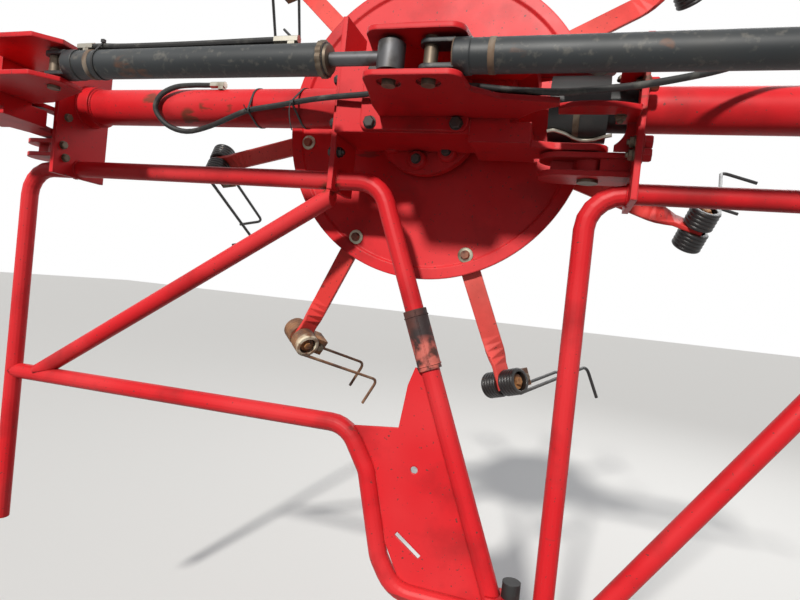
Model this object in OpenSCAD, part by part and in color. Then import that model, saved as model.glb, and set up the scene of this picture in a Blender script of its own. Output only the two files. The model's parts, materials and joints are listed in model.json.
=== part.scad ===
// Rotor section of a folding hay tedder, folded for the road: the rotor plane stands upright.
// X runs along the beam, Y away from the gearbox side towards the tines, Z up.
// The origin is the centre of the outer face of the beam's end flange, where the next gearbox bolts on.

/* [Beam] */
// Outer diameter of the beam tubes
beam_od = 90; // [76:1:102]
// Wall of the beam tubes
beam_wall = 6; // [4:0.5:10]
// Distance from the end flange's face to the rotor's axis
rotor_distance = 1222; // [1100:1:1300]
// From the rotor's axis to the gearbox's flange on the hinge-lug side
inner_flange_offset = 165; // [150:1:200]
// From the rotor's axis to the fold hinge on the mounted side
hinge_offset = 375; // [340:1:420]
// From the rotor's axis to the far fold hinge
far_hinge_offset = 1012; // [950:1:1060]
// Thickness of the beam flanges
flange_t = 12; // [8:1:20]
// Width of the beam flanges across Y
flange_w = 120; // [110:1:150]

/* [End flange] */
// Bolt circle of the end flange's four holes
end_flange_pcd = 136; // [130:1:140]
// Diameter of the bolt holes in the end flange
end_flange_hole = 13; // [9:0.5:15]
// Diameter of the drive shaft's passage in the end flange
shaft_passage = 62; // [50:1:70]
// How far the tall flanges reach below the beam's axis
flange_drop = 198; // [190:1:215]
// How far the tall flanges reach above the beam's axis
flange_rise = 185; // [150:1:200]
// How far the hinge flanges reach above the beam's axis
hinge_flange_rise = 111; // [111:1:130]
// How far the hinge flanges reach in front of the beam's axis
hinge_flange_front = 100; // [90:1:110]

/* [Gearbox] */
// Height of the gearbox housing along Z
gearbox_h = 150; // [120:1:180]
// Depth of the gearbox housing along Y
gearbox_depth = 150; // [120:1:170]
// Width of the gearbox housing along X, from the inner flange
gearbox_w = 300; // [260:1:330]
// Radius of the round bearing casting that carries the rotor
bearing_r = 128; // [110:1:140]
// Depth of the bearing casting along Y
bearing_depth = 28; // [16:1:32]

/* [Cylinder bracket] */
// Thickness of the two bracket plates
bracket_t = 10; // [8:1:14]
// Clear height between the bracket plates
bracket_gap = 68; // [60:1:80]
// How far the bracket plates reach from the beam's axis
bracket_reach = 300; // [290:1:320]
// Radius of the bracket plates' front corners
bracket_corner_r = 25; // [15:1:35]

/* [Shaft guard] */
// Outer radius of the drive shaft's plastic guard
shaft_guard_r = 66; // [60:1:67]
// Radius of the guard's neck at the hinge flange
shaft_neck_r = 45; // [40:1:50]

/* [Fold cylinders] */
// Distance of the cylinders in front of the beam's axis
cylinder_y = 264; // [240:1:300]
// Outer diameter of the cylinder barrels
barrel_od = 58; // [50:1:62]
// Diameter of the piston rods
rod_d = 25; // [20:1:32]
// Length of a barrel from its pin to its open end
barrel_len = 645; // [620:5:660]
// Length of a piston rod from its eye to its hidden end
rod_len = 712; // [690:1:715]
// Diameter of the cylinder pins
pin_d = 25; // [20:1:30]
// Diameter of the rod's eye
eye_d = 50; // [44:1:60]
// Place of the rod's pin along the bracket, from the rotor's axis
rod_pin_x = 19; // [10:1:30]
// Place of the barrel's pin along the bracket, from the rotor's axis
barrel_pin_x = 92; // [85:1:110]

/* [Hoses] */
// Outer diameter of the hydraulic hoses
hose_d = 13; // [10:1:16]
// Width of the hoses' end fittings
fitting_d = 17; // [16:1:22]

/* [Rotor] */
// Number of tine arms
arm_count = 7; // [5:1:8]
// Direction of the first arm in degrees
arm_start = 291; // [0:1:360]
// Radius of the rotor disc
disc_r = 375; // [340:1:400]
// Distance of the disc's flat face behind the beam's axis
disc_y = 122; // [118:1:140]
// Thickness of the disc's sheet
disc_t = 5; // [3:0.5:8]
// Width of the disc's raised rim
rim_w = 26; // [20:1:40]
// Height of the disc's raised rim
rim_rise = 6; // [3:1:10]
// Width of the arm bars
arm_w = 46; // [36:1:56]
// Thickness of the arm bars
arm_t = 10; // [8:1:14]
// Radius at which the arms end
arm_end_r = 668; // [620:1:700]
// How far the arms' ends fall back from the disc's face
arm_fall = 70; // [40:1:90]

/* [Tines] */
// Diameter of the tine wire
wire_d = 9.5; // [8:0.5:11]
// Outer diameter of the tine coils
coil_od = 66; // [56:1:72]
// Turns in each of a tine's two coils
coil_turns = 5; // [3:1:6]
// Length of a prong from the coil to its bend
prong_len = 300; // [260:5:340]
// Length of a prong's hook past its bend
hook_len = 90; // [60:5:110]
// Lean of the coil's axis towards the gearbox side, in degrees
coil_lean = 33; // [20:1:45]

/* [Guard frame] */
// Outer diameter of the guard tubes
guard_od = 42; // [34:1:48]
// Distance of the guard's plane in front of the beam's axis
guard_y = 20; // [0:1:40]
// Height of the guard's upper tubes below the beam's axis
guard_top = 172; // [160:1:190]
// Depth of the guard's lowest tube below the beam's axis
guard_bottom = 1066; // [950:5:1150]
// Bend radius of the guard tubes
guard_bend = 72; // [60:1:73]

/* [Wheel] */
// Diameter of the tyre
tyre_od = 330; // [300:5:360]
// Width of the tyre
tyre_w = 120; // [100:5:150]
// Distance of the wheel's axle behind the beam's axis
axle_y = 373; // [371:1:400]
// Diameter of the wheel's axle
axle_d = 25; // [20:1:30]
// Width of the wheel leg's bars
leg_bar_w = 60; // [50:1:70]
// Thickness of the wheel leg's bars
leg_bar_t = 14; // [10:1:16]
// Radius of the rim's seat for the tyre
rim_seat_r = 92; // [80:1:100]

/* [Hidden] */
$fn = 48;
red = [0.83, 0.09, 0.11];
black = [0.07, 0.07, 0.08];
zinc = [0.66, 0.65, 0.6];
rust = [0.45, 0.25, 0.14];

rotor_x = -rotor_distance;
inner_flange_x = rotor_x - inner_flange_offset;
hinge_x = rotor_x + hinge_offset;
far_hinge_x = rotor_x - far_hinge_offset;
beam_r = beam_od / 2;
guard_r = guard_od / 2;
running = 0.05;
leg_r = 30;
hub_bore_r = leg_r + running;
bracket_z = bracket_gap / 2;

// Places along a planar tube: each row is [x, z] from the rotor's axis and the beam's axis.
flange_standoff = 77;
far_flange_offset = flange_standoff - far_hinge_offset;
post_bottom = guard_bottom + 85;
post_x = hinge_offset + 3;
right_face = hinge_offset + flange_standoff;
left_post_x = -78 - far_hinge_offset;
guard_outer_route = [
    [left_post_x, -738], [-85, -722], [-28, -815], [20, -1000], [62, -guard_bottom], [312, -guard_bottom]
];
guard_inner_route = [[-inner_flange_offset, -guard_top], [-64, -guard_top], [286, 6 - guard_bottom]];
guard_diagonal_route = [[-168, -201], [left_post_x + 90, -730]];
guard_top_route = [[far_flange_offset + flange_t, -guard_top], [-inner_flange_offset - flange_t, -guard_top]];
left_post_route = [[far_flange_offset, -176], [left_post_x, -176], [left_post_x, -post_bottom]];
right_post_route = [[right_face, -176], [post_x, -176], [post_x, -post_bottom]];
right_top_route = [[right_face + flange_t, -guard_top], [rotor_distance - flange_t, -guard_top]];
right_diagonal_route = [[post_x + 8, -1147], [1037, -guard_top - 6]];

// The signed turn at corner b of a planar route.
function corner_turn(a, b, c) =
    let (u = b - a, v = c - b)
    atan2(u[0] * v[1] - u[1] * v[0], u[0] * v[0] + u[1] * v[1]);
function heading_of(a, b) = atan2(b[1] - a[1], b[0] - a[0]);
function along(h) = [cos(h), sin(h)];
function across(h) = [-sin(h), cos(h)];

// Stations [place, heading] along a route whose corners are rounded by arcs of the bend radius.
function stations(route, bend, steps) = [
    [route[0], heading_of(route[0], route[1])],
    for (i = [1:1:len(route) - 2])
        let (
            h = heading_of(route[i - 1], route[i]),
            turn = corner_turn(route[i - 1], route[i], route[i + 1]),
            side = turn > 0 ? 1 : -1,
            centre = route[i] - bend * tan(abs(turn) / 2) * along(h) + side * bend * across(h)
        )
        for (k = [0:steps])
            let (here = h + turn * k / steps)
            [centre - side * bend * across(here), here],
    [route[len(route) - 1], heading_of(route[len(route) - 2], route[len(route) - 1])]
];

// A bent tube or rod standing in the XZ plane, swept through its stations.
module swept(route, r, bend, sides, steps) {
    rings = stations(route, bend, steps);
    last = len(rings) - 1;
    points = [for (ring = rings, j = [0:sides - 1])
        let (a = j * 360 / sides, p = ring[0] + r * sin(a) * across(ring[1]))
        [p[0], r * cos(a), p[1]]];
    skin = [for (k = [0:last - 1], j = [0:sides - 1])
        let (a = sides * k + j, b = sides * k + (j + 1) % sides)
        each [[a, b + sides, b], [a, a + sides, b + sides]]];
    polyhedron(points, concat(
        [[for (j = [0:sides - 1]) j]], skin, [[for (j = [sides - 1:-1:0]) sides * last + j]]
    ));
}

// A hose swept along a smooth curve through its points, which never heads straight along Y.
function between(a, b, c, d, t) =
    0.5 * (2 * b + (c - a) * t + (2 * a - 5 * b + 4 * c - d) * t * t + (3 * b - a - 3 * c + d) * t * t * t);
function smooth(points, steps) = let (last = len(points) - 1) [
    for (i = [0:last - 1], k = [0:steps - 1])
        between(points[max(i - 1, 0)], points[i], points[i + 1], points[min(i + 2, last)], k / steps),
    points[last]
];
module hose(route) {
    sides = 8;
    path = smooth(route, 4);
    last = len(path) - 1;
    points = [for (k = [0:last])
        let (ahead = path[min(k + 1, last)] - path[max(k - 1, 0)], u = cross(ahead, [0, 1, 0]), v = cross(ahead, u))
        for (j = [0:sides - 1])
            path[k] + hose_d / 2 * (cos(j * 360 / sides) * u / norm(u) + sin(j * 360 / sides) * v / norm(v))];
    skin = [for (k = [0:last - 1], j = [0:sides - 1])
        let (a = sides * k + j, b = sides * k + (j + 1) % sides)
        each [[a, b + sides, b], [a, a + sides, b + sides]]];
    polyhedron(points, concat(
        [[for (j = [0:sides - 1]) j]], skin, [[for (j = [sides - 1:-1:0]) sides * last + j]]
    ));
}

// A hexagon fitting along X that ends a hose, on a port block of the given height below it.
module hose_end(place, len, port_x, port_h) {
    translate(place) rotate([0, 90, 0]) cylinder(r = fitting_d / 2, h = len, $fn = 6);
    translate(place + [port_x, -7, -port_h]) cube([14, 14, port_h]);
}

// A straight tube between two places in the XZ plane.
module straight_tube(a, b, r) {
    translate([a[0], 0, a[1]]) rotate([0, 90 - heading_of(a, b), 0]) cylinder(r = r, h = norm(b - a));
}

module guard_plane() {
    translate([rotor_x, -guard_y, 0]) children();
}

// Turns local Z into the rotor's axis, towards the gearbox side.
module rotor_frame() {
    translate([rotor_x, 0, 0]) rotate([90, 0, 0]) children();
}

// A plate across the beam that reaches so far in front of it and above it.
module flange_plate(x, front, top) {
    translate([x, -front, -flange_drop]) cube([flange_t, front + flange_w / 2, flange_drop + top]);
}

// Root: the beam towards the next gearbox
flange_right_x = rotor_x + right_face;
module beam_right() {
    color(red) translate([flange_right_x + flange_t, 0, 0]) rotate([0, 90, 0])
        difference() {
            cylinder(r = beam_r, h = -flange_right_x - 2 * flange_t);
            translate([0, 0, -1]) cylinder(r = beam_r - beam_wall, h = -flange_right_x);
        }
}

module end_flange() {
    color(red) difference() {
        flange_plate(-flange_t, flange_w / 2, flange_rise);
        translate([-flange_t - 1, 0, 0]) rotate([0, 90, 0]) {
            cylinder(r = shaft_passage / 2, h = flange_t + 2);
            for (a = [45:90:315])
                rotate(a) translate([end_flange_pcd / 2, 0, 0]) cylinder(r = end_flange_hole / 2, h = flange_t + 2);
        }
    }
}

// Hinge: the box's two arms carry the pins, which turn in the flange's upper ear and lower arm.
// Everything on the flange's side stays inside the sweep of the box's end face.
hinge_pin_r = 15;
pin_head_r = hinge_pin_r + 6;
pin_head_t = 6;
box_end = 160;
box_half_w = 75;
box_half_h = 91;
cheek_end = 117;
cheek_z = 50;
box_arm_t = 14;
box_arm_w = 68;
ear_step = 6;
ear_z = box_half_h + ear_step;
ear_t = hinge_flange_rise - ear_z;
ear_r = 38;
lower_arm_t = 47;
lower_arm_r = 44;
lower_arm_reach = 100;
lower_arm_skin = 11;
rib_t = 16;
hinge_gap = 8;
strip_r = box_end - hinge_gap;
strip_back = 105;
strip_leg = 37;
strip_left = 66;
web_t = 10;
web_r = 46;
web_front = 60;

// The hinge's outline in plan: a disc of radius r that runs on to the flange.
module ear_plan(r, start) {
    translate([start, 0]) circle(r = r);
    translate([start, -r]) square([flange_standoff - start + 1, 2 * r]);
}

// A lower arm with a skin above and below, a rib along it and a boss round the pin.
module lower_arm() {
    start = lower_arm_r - lower_arm_reach;
    for (z = [0, lower_arm_t - lower_arm_skin])
        translate([0, 0, z]) linear_extrude(lower_arm_skin) ear_plan(lower_arm_r, start);
    cylinder(r = ear_r - 6, h = lower_arm_t);
    translate([start - 20, -rib_t / 2, 0]) cube([flange_standoff - start + 21, rib_t, lower_arm_t]);
    for (y = [-lower_arm_r + 6, lower_arm_r - 6 - rib_t / 2])
        translate([20, y, 0]) cube([flange_standoff - 19, rib_t / 2, lower_arm_t]);
}

// The strip round the front of the hinge, with a leg back to the flange.
module strip_plan() {
    intersection() {
        circle(r = strip_r, $fn = 96);
        union() {
            translate([-strip_left, -strip_r]) square([strip_left + flange_standoff + 1, strip_r - strip_back]);
            translate([flange_standoff - strip_leg, -strip_r]) square([strip_leg + 1, strip_r - web_front + web_t]);
        }
    }
}

// The web stands on the lower arm against the flange and narrows upwards in an arc.
module hinge_web() {
    translate([flange_standoff - strip_leg + 1, -web_front, -ear_z - 1]) difference() {
        cube([strip_leg, web_t, ear_z - bracket_z - bracket_t + 2]);
        translate([20 - web_r, -1, ear_z - bracket_z - bracket_t - 4]) rotate([-90, 0, 0]) cylinder(r = web_r, h = web_t + 2);
    }
}

module hinge_flange_at(hinge, plate_x) {
    color(red) difference() {
        union() {
            flange_plate(plate_x, hinge_flange_front, hinge_flange_rise);
            translate([hinge, 0, ear_z]) linear_extrude(ear_t) ear_plan(ear_r, 0);
            translate([hinge, 0, -ear_z - lower_arm_t]) lower_arm();
            for (z = [bracket_z, -bracket_z - bracket_t])
                translate([hinge, 0, z]) linear_extrude(bracket_t) strip_plan();
            translate([hinge, 0, 0]) {
                hinge_web();
                mirror([0, 0, 1]) hinge_web();
            }
        }
        translate([hinge, 0, -200]) cylinder(r = hinge_pin_r + running, h = 400);
    }
}

// The box's end with its two arms; the hinge stands at the origin and the box lies towards -X.
module box_end_at(reach) {
    color(red) difference() {
        union() {
            translate([-reach, -box_half_w, -box_half_h])
                cube([reach - box_end, 2 * box_half_w, 2 * box_half_h]);
            for (z = [cheek_z, -box_half_h])
                translate([-box_end - 1, -box_half_w, z])
                    cube([box_end - cheek_end + 1, 2 * box_half_w, box_half_h - cheek_z]);
            for (z = [box_half_h - box_arm_t, -box_half_h]) translate([0, 0, z]) linear_extrude(box_arm_t) {
                circle(r = box_arm_w / 2);
                polygon([
                    [0, -box_arm_w / 2], [0, box_arm_w / 2], [-70, box_arm_w / 2], [-box_end - 1, 60],
                    [-box_end - 1, -60], [-70, -box_arm_w / 2]
                ]);
            }
        }
        for (side = [0, 1]) mirror([0, 0, side])
            translate([0, 0, box_half_h - box_arm_t - 1]) cylinder(r = hinge_pin_r, h = box_arm_t + 2);
    }
}

module pin_pair(x) {
    color(zinc) translate([x, 0, 0]) {
        translate([0, 0, box_half_h - box_arm_t]) cylinder(r = hinge_pin_r, h = box_arm_t + ear_step + ear_t + 1);
        translate([0, 0, hinge_flange_rise + 0.5]) cylinder(r = pin_head_r, h = pin_head_t);
        translate([0, 0, -ear_z - lower_arm_t - 1])
            cylinder(r = hinge_pin_r, h = lower_arm_t + ear_step + box_arm_t + 1);
        translate([0, 0, -ear_z - lower_arm_t - 0.5 - pin_head_t]) cylinder(r = pin_head_r, h = pin_head_t);
    }
}

// The guard of the drive shaft's joint reaches this far to either side of the hinge.
guard_end = 88;
guard_mouth = 25;

module hinge_flange() { hinge_flange_at(hinge_x, flange_right_x); }

module right_guard_post() {
    color(red) guard_plane() swept(right_post_route, guard_r, guard_bend, 16, 5);
}

module right_guard_top() {
    color(red) guard_plane() straight_tube(right_top_route[0], right_top_route[1], guard_r);
}

module right_guard_diagonal() {
    color(red) difference() {
        guard_plane() straight_tube(right_diagonal_route[0], right_diagonal_route[1], guard_r);
        right_guard_post();
        right_guard_top();
    }
}

// Centre section
module gearbox_housing() {
    color(red) translate([inner_flange_x, -75, -gearbox_h / 2])
        cube([gearbox_w, gearbox_depth, gearbox_h]);
}

module bearing_casting() {
    color(red) rotor_frame() translate([0, 0, -75 - bearing_depth]) cylinder(r = bearing_r, h = bearing_depth);
}

box_start_x = inner_flange_x + gearbox_w;
module hinge_box() { translate([hinge_x, 0, 0]) box_end_at(hinge_x - box_start_x); }
module hinge_pins() { pin_pair(hinge_x); }

module shaft_guard() {
    color(black) translate([hinge_x - guard_end, 0, 0]) rotate([0, 90, 0]) {
        cylinder(r = shaft_guard_r, h = guard_end + guard_mouth);
        cylinder(r = shaft_neck_r, h = guard_end + flange_standoff);
    }
}

// A spring wire round the guard's lower half, with its ends turned out.
clip_w = 12;
module guard_clip() {
    color(zinc) translate([hinge_x - 40, 0, 0]) rotate([0, 90, 0]) difference() {
        cylinder(r = shaft_guard_r + 3, h = clip_w);
        translate([0, 0, -1]) cylinder(r = shaft_guard_r, h = clip_w + 2);
        translate([-shaft_guard_r - 4, -shaft_guard_r - 4, -1]) cube([shaft_guard_r + 14, 2 * shaft_guard_r + 8, clip_w + 2]);
    }
}

bracket_left = 25;
bracket_right = 154;
bracket_tip = 311;
module bracket_plate() {
    r = bracket_corner_r;
    linear_extrude(bracket_t) difference() {
        union() {
            polygon([
                [-bracket_left, r - bracket_reach], [r - bracket_left, -bracket_reach], [bracket_right - r, -bracket_reach],
                [bracket_right, r - bracket_reach], [158, -225], [206, -187], [bracket_tip, -167],
                [bracket_tip, -75], [-60, -75], [-52, -153], [-35, -222]
            ]);
            for (x = [r - bracket_left, bracket_right - r]) translate([x, r - bracket_reach]) circle(r = r);
        }
        translate([hinge_offset, 0]) circle(r = box_end, $fn = 96);
    }
}

pin_head_rise = 6;
pin_recess = 5;
pin_recess_r = 22;
module cylinder_bracket() {
    color(red) difference() {
        for (z = [bracket_z, -bracket_z - bracket_t]) translate([rotor_x, 0, z]) bracket_plate();
        for (x = [rod_pin_x, barrel_pin_x])
            translate([rotor_x + x, -cylinder_y, -60]) {
                cylinder(r = pin_d / 2 + running, h = 120);
                cylinder(r = pin_recess_r, h = 60 - bracket_z - bracket_t + pin_recess);
            }
    }
}

module bracket_pin_heads() {
    color(zinc) {
        for (z = [bracket_z, -bracket_z - bracket_t - pin_head_rise])
            translate([rotor_x + rod_pin_x, -cylinder_y, z]) cylinder(r = pin_d / 2, h = bracket_t + pin_head_rise);
        translate([rotor_x + barrel_pin_x, -cylinder_y, -bracket_z - bracket_t - pin_head_rise])
            cylinder(r = pin_d / 2, h = bracket_gap + 2 * bracket_t + 2 * pin_head_rise);
    }
}

module inner_flange() {
    color(red) flange_plate(inner_flange_x - flange_t, flange_w / 2, flange_rise);
}

far_flange_x = rotor_x + far_flange_offset;
module beam_left() {
    color(red) translate([far_flange_x + flange_t, 0, 0]) rotate([0, 90, 0])
        difference() {
            union() {
                cylinder(r = beam_r, h = inner_flange_x - far_flange_x - 2 * flange_t);
                cylinder(r = beam_r + 7, h = 38);
            }
            translate([0, 0, -1]) cylinder(r = beam_r - beam_wall, h = inner_flange_x - far_flange_x);
        }
}

module far_flange() { hinge_flange_at(far_hinge_x, far_flange_x); }

module guard_top() {
    color(red) guard_plane() straight_tube(guard_top_route[0], guard_top_route[1], guard_r);
}

module left_post() {
    color(red) guard_plane() swept(left_post_route, guard_r, guard_bend, 16, 5);
}

module guard_outer_tube() {
    guard_plane() swept(guard_outer_route, guard_r, guard_bend, 16, 5);
}

module guard_inner_tube() {
    guard_plane() swept(guard_inner_route, guard_r, guard_bend, 16, 5);
}

module guard_outer() {
    color(red) difference() {
        guard_outer_tube();
        left_post();
    }
}

module guard_diagonal() {
    color(red) difference() {
        guard_plane() straight_tube(guard_diagonal_route[0], guard_diagonal_route[1], guard_r);
        left_post();
        guard_outer_tube();
        guard_top();
        translate([inner_flange_x - flange_t, -100, -300]) cube([100, 200, 200]);
    }
}

module guard_inner() {
    color(red) difference() {
        guard_inner_tube();
        guard_outer_tube();
    }
}

sleeve_start = 0.31;
sleeve_end = 0.45;
module guard_sleeve() {
    a = guard_inner_route[1];
    b = guard_inner_route[2];
    color(rust) guard_plane() difference() {
        straight_tube(a + sleeve_start * (b - a), a + sleeve_end * (b - a), guard_r + 5);
        straight_tube(a + (sleeve_start - 0.05) * (b - a), a + (sleeve_end + 0.05) * (b - a), guard_r);
    }
}

// The gusset's outline: its upper edge follows the outer tube, then rises in a tongue beside the inner one.
gusset_t = 4;
gusset_hole_r = 8;
module gusset_panel() {
    outer = guard_outer_route;
    inner_end = guard_inner_route[2];
    color(red) difference() {
        translate([rotor_x, gusset_t / 2 - guard_y, 0]) rotate([90, 0, 0]) linear_extrude(gusset_t) difference() {
            polygon([
                outer[1] + [5, 0], outer[1] + [121, 13], outer[1] + [132, 109], outer[1] + [145, 150],
                outer[1] + [195, 150], inner_end + [0, 10], outer[4] + [15, 15], outer[2] + [25, -85]
            ]);
            translate([81, -795]) circle(r = gusset_hole_r);
            translate(outer[3] + [32, 55]) rotate(-35) square([70, 10]);
        }
        guard_outer_tube();
        guard_inner_tube();
        guard_sleeve();
    }
}

buffer_x = 312;
buffer_r = 19;
buffer_shelf_t = 8;
buffer_shelf_z = 41 - guard_bottom;
buffer_h = 32;
module buffer_bracket() {
    shelf_start = guard_inner_route[2][0] - 24;
    color(red) difference() {
        guard_plane() translate([shelf_start, -28, buffer_shelf_z])
            cube([buffer_x + 18 - shelf_start, 56, buffer_shelf_t]);
        guard_inner_tube();
    }
}

module rubber_buffer() {
    color(black) guard_plane() translate([buffer_x, 0, buffer_shelf_z + buffer_shelf_t])
        cylinder(r = buffer_r, h = buffer_h);
}

// Stationary wheel leg through the rotor's hub: a pipe, a bar across its end and a bar back to the axle.
leg_start = 75 + bearing_depth;
leg_end = 186;
leg_side_x = tyre_w / 2 + 11;
module wheel_leg() {
    w = leg_bar_w;
    color(red) {
        rotor_frame() translate([0, 0, -leg_end - 4]) cylinder(r = leg_r, h = leg_end + 4 - leg_start);
        translate([rotor_x - w / 2, leg_end, -w / 2]) cube([w / 2 + leg_side_x + leg_bar_t, leg_bar_t, w]);
        translate([rotor_x + leg_side_x, leg_end, -w / 2]) cube([leg_bar_t, axle_y - leg_end, w]);
        translate([rotor_x + leg_side_x, axle_y, 0]) rotate([0, 90, 0]) cylinder(r = w / 2, h = leg_bar_t);
    }
}

axle_end = leg_side_x - 5;
module wheel_axle() {
    color(zinc) translate([rotor_x - axle_end, axle_y, 0]) rotate([0, 90, 0])
        cylinder(r = axle_d / 2, h = axle_end + leg_side_x);
}

rim_half_w = tyre_w / 2 - 12;
module tyre() {
    color(black) translate([rotor_x, axle_y, 0]) rotate([0, 90, 0]) rotate_extrude($fn = 64)
        polygon([
            [rim_seat_r - 8, rim_half_w], [rim_seat_r - 6, tyre_w / 2 - 6], [rim_seat_r + 14, tyre_w / 2],
            [tyre_od / 2 - 24, tyre_w / 2], [tyre_od / 2 - 8, tyre_w / 2 - 12], [tyre_od / 2, tyre_w / 2 - 34],
            [tyre_od / 2, 34 - tyre_w / 2], [tyre_od / 2 - 8, 12 - tyre_w / 2], [tyre_od / 2 - 24, -tyre_w / 2],
            [rim_seat_r + 14, -tyre_w / 2], [rim_seat_r - 6, 6 - tyre_w / 2], [rim_seat_r - 8, -rim_half_w],
            [rim_seat_r, -rim_half_w], [rim_seat_r, rim_half_w]
        ]);
}

module wheel_rim() {
    bore = axle_d / 2 + running;
    color(zinc) translate([rotor_x, axle_y, 0]) rotate([0, 90, 0]) rotate_extrude($fn = 64)
        polygon([
            [bore, -54], [30, -54], [30, -4], [rim_seat_r - 8, -4], [rim_seat_r - 8, -rim_half_w],
            [rim_seat_r, -rim_half_w], [rim_seat_r, rim_half_w], [rim_seat_r - 8, rim_half_w], [rim_seat_r - 8, 4],
            [30, 4], [30, 54], [bore, 54]
        ]);
}

// Rotor
module rotor_hub() {
    color(red) rotor_frame() translate([0, 0, -disc_y - disc_t - 36]) difference() {
        cylinder(r = 110, h = 36);
        translate([0, 0, -1]) cylinder(r = hub_bore_r, h = 38);
    }
}

module rotor_disc() {
    color(red) rotor_frame() translate([0, 0, -disc_y - disc_t]) rotate_extrude($fn = 96)
        polygon([
            [hub_bore_r, 0], [disc_r - rim_w, 0], [disc_r - rim_w + 4, rim_rise], [disc_r - disc_t, rim_rise],
            [disc_r - disc_t, 0], [disc_r, 0], [disc_r, rim_rise + disc_t], [disc_r - rim_w, rim_rise + disc_t],
            [disc_r - rim_w - 6, disc_t], [hub_bore_r, disc_t]
        ]);
}

// Rows of an arm: radius, fall behind the disc and twist, as shares of the arm's own values.
arm_rows = [
    [0.34, 0, 0], [0.52, 0, 0], [0.8, 0.72, 0], [0.825, 0.78, 0.15], [0.85, 0.84, 0.4],
    [0.88, 0.91, 0.75], [0.905, 0.96, 1], [0.93, 1, 1], [1, 1, 1]
];
arm_twist = coil_lean - 90;
function arm_ring(row) =
    let (c = cos(row[2] * arm_twist), s = sin(row[2] * arm_twist), w = arm_w / 2, t = arm_t / 2)
    [for (p = [[-w, -t], [w, -t], [w, t], [-w, t]])
        [row[0] * arm_end_r, p[0] * c - p[1] * s, p[0] * s + p[1] * c - row[1] * arm_fall]];

module arm(i) {
    rings = [for (row = arm_rows) arm_ring(row)];
    last = len(rings) - 1;
    points = [for (ring = rings, p = ring) p];
    sides = [for (k = [0:last - 1], j = [0:3])
        let (a = 4 * k + j, b = 4 * k + (j + 1) % 4)
        each [[a, b + 4, b], [a, a + 4, b + 4]]];
    color(red) rotor_frame() rotate(arm_start + (i - 1) * 360 / arm_count)
        translate([0, 0, -disc_y - disc_t - arm_t / 2])
            polyhedron(points, concat([[0, 1, 2, 3]], sides, [[4 * last + 3, 4 * last + 2, 4 * last + 1, 4 * last]]));
}

coil_mid_r = (coil_od - wire_d) / 2;
prong_r = wire_d / 2 - 0.3;
coil_pitch = wire_d * 0.94;
coil_start = arm_t / 2 + 0.4;
coil_len = (coil_turns - 1) * coil_pitch + wire_d;

// The turns lie wire on wire, so each shows as a round crest.
module coil_pack() {
    crest = [for (k = [0:coil_turns - 1], a = [-60:30:60])
        [coil_mid_r + wire_d / 2 * cos(a), coil_start + wire_d / 2 + k * coil_pitch + wire_d / 2 * sin(a)]];
    rotate([90, 0, 0]) rotate_extrude() polygon(concat(
        [[coil_mid_r - wire_d / 2, coil_start]], crest, [[coil_mid_r - wire_d / 2, coil_start + coil_len]]
    ));
}

// A tine in its own frame: X outwards along the arm, the coils' axis along Y, prongs along -Z.
prong_route = [[coil_mid_r, 6], [coil_mid_r, -prong_len], [coil_mid_r + hook_len, -prong_len - 6]];
module place_tine(i) {
    rotor_frame() rotate(arm_start + (i - 1) * 360 / arm_count)
        translate([arm_end_r - 14, 0, -disc_y - disc_t - arm_t / 2 - arm_fall]) rotate([coil_lean, 0, 0]) children();
}

module tine(i) {
    color(i == 7 ? rust : black) place_tine(i)
        for (side = [0, 1]) mirror([0, side, 0]) {
            coil_pack();
            translate([0, -coil_start - coil_len + wire_d / 2, 0]) swept(prong_route, prong_r, 20, 8, 4);
        }
}

module tine_clamps() {
    color(rust) for (i = [1:arm_count]) place_tine(i) {
        translate([-22, -26, -70]) cube([44, 52, 70 - coil_od / 2 - 0.5]);
        translate([-20, -arm_t / 2, -coil_od / 2 - 1]) cube([32, arm_t, coil_od / 2 + 1 - arm_w / 2]);
    }
}

// Far knuckle: the hinge end and lugs of the neighbouring section, folded
lug_side = box_half_w;
module hinge_lugs() {
    color(red) difference() {
        for (z = [bracket_z, -bracket_z - bracket_t]) translate([far_hinge_x, 0, z]) linear_extrude(bracket_t)
            polygon([
                [lug_side, -box_end + 5], [lug_side + 75, -box_end - 5], [cylinder_y + 40, 35 - cylinder_y],
                [cylinder_y + 45, -cylinder_y - 25], [cylinder_y + 5, -cylinder_y - 66], [lug_side, -cylinder_y - 66]
            ]);
        translate([lug_pin_x, -cylinder_y, -60]) cylinder(r = pin_d / 2 + running, h = 120);
    }
}

module lug_pin() {
    color(zinc) translate([lug_pin_x, -cylinder_y, -bracket_z - bracket_t - pin_head_rise])
        cylinder(r = pin_d / 2, h = bracket_gap + 2 * bracket_t + 2 * pin_head_rise);
}

lug_pin_x = far_hinge_x + cylinder_y;
next_rod_pin_x = inner_flange_offset + rod_pin_x;
knuckle_reach = hinge_offset + inner_flange_offset - gearbox_w;
knuckle_plate_t = 12;
knuckle_hole_pitch = 124;
module knuckle_box() {
    translate([far_hinge_x, 0, 0]) rotate([0, 0, 90]) box_end_at(knuckle_reach - knuckle_plate_t);
    color(red) translate([far_hinge_x, -knuckle_reach, 0]) rotate([-90, 0, 0]) difference() {
        translate([-75, -75, 0]) cube([150, 150, knuckle_plate_t]);
        for (x = [-1, 1], z = [-1, 1])
            translate([x * knuckle_hole_pitch / 2, z * knuckle_hole_pitch / 2, -1])
                cylinder(r = end_flange_hole / 2, h = knuckle_plate_t + 2);
    }
}

module knuckle_pins() { pin_pair(far_hinge_x); }

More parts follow.
